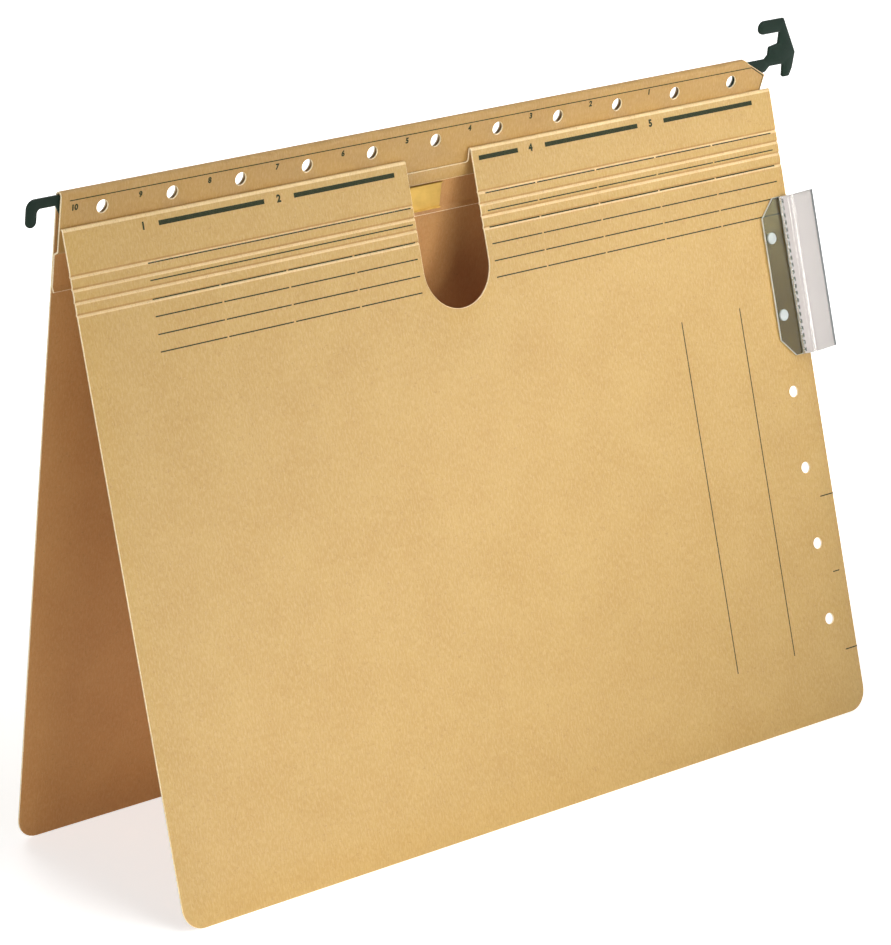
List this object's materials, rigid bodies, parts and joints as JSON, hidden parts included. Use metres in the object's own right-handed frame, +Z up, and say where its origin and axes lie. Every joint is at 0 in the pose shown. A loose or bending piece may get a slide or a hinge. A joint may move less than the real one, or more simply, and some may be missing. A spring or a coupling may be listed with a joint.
{
  "type": "hanging fastener folder",
  "caption": "Kraft board hanging folder: covers hinged on a flat steel rail with end hooks, finger cut, folded prong fastener with sliders, clip-on clear label tab.",
  "frame": {"origin": "middle of the folder's box, on the floor that it stands on like a tent", "axes": "+X along the rail from the plain hook to the two-way hook, -Y the side that the front cover faces, +Z up"},
  "size_m": [0.3442, 0.0932, 0.2462],
  "materials": {
    "front_board": "uncoated kraft board, matt",
    "back_board": "uncoated kraft board, matt",
    "green_steel": "dark green lacquer, half gloss",
    "brass_steel": "brass-coloured plated sheet, satin",
    "clear_plastic": "clear, glossy",
    "label_paper": "matt white"
  },
  "bodies": {
    "spine": {"back_cover": "back_board", "rail": "green_steel", "front_flap": "front_board", "fastener_base": "brass_steel", "cover_bar": "brass_steel"},
    "cover_margin": {"front_margin_left": "front_board", "front_margin_right": "front_board"},
    "cover_panel": {"front_panel": "front_board"},
    "left_prong": {"prong_left": "brass_steel"},
    "right_prong": {"prong_right": "brass_steel"},
    "left_slider": {"slider_left": "brass_steel"},
    "right_slider": {"slider_right": "brass_steel"},
    "label_tab": {"tab_holder": "clear_plastic"},
    "label": {"tab_label": "label_paper"}
  },
  "joints": [
    {"name": "front_cover_swing", "type": "hinge", "parent": "spine", "child": "cover_margin", "pos_m": [0, 0.02101, 0.22001], "axis": [-1, 0, 0], "range_deg": [-20, 150]},
    {"name": "front_crease_bend", "type": "hinge", "parent": "cover_margin", "child": "cover_panel", "pos_m": [0, 0.01469, 0.19975], "axis": [-1, 0, 0], "range_deg": [-2, 40]},
    {"name": "left_prong_fold", "type": "hinge", "parent": "spine", "child": "left_prong", "pos_m": [-0.09655, 0.02355, 0.20539], "axis": [0, 0.0974, -0.9952], "range_deg": [0, 10]},
    {"name": "right_prong_fold", "type": "hinge", "parent": "spine", "child": "right_prong", "pos_m": [-0.01685, 0.02355, 0.20539], "axis": [0, -0.0974, 0.9952], "range_deg": [0, 10]},
    {"name": "left_slider_slide", "type": "slide", "parent": "spine", "child": "left_slider", "axis": [-1, 0, 0], "range_m": [0, 0.012]},
    {"name": "right_slider_slide", "type": "slide", "parent": "spine", "child": "right_slider", "axis": [1, 0, 0], "range_m": [0, 0.012]},
    {"name": "tab_unclip", "type": "slide", "parent": "cover_panel", "child": "label_tab", "axis": [0, -0.9568, 0.2909], "range_m": [0, 0.012]},
    {"name": "label_slide", "type": "slide", "parent": "label_tab", "child": "label", "axis": [0, -0.2909, -0.9568], "range_m": [0, 0.055]}
  ]
}
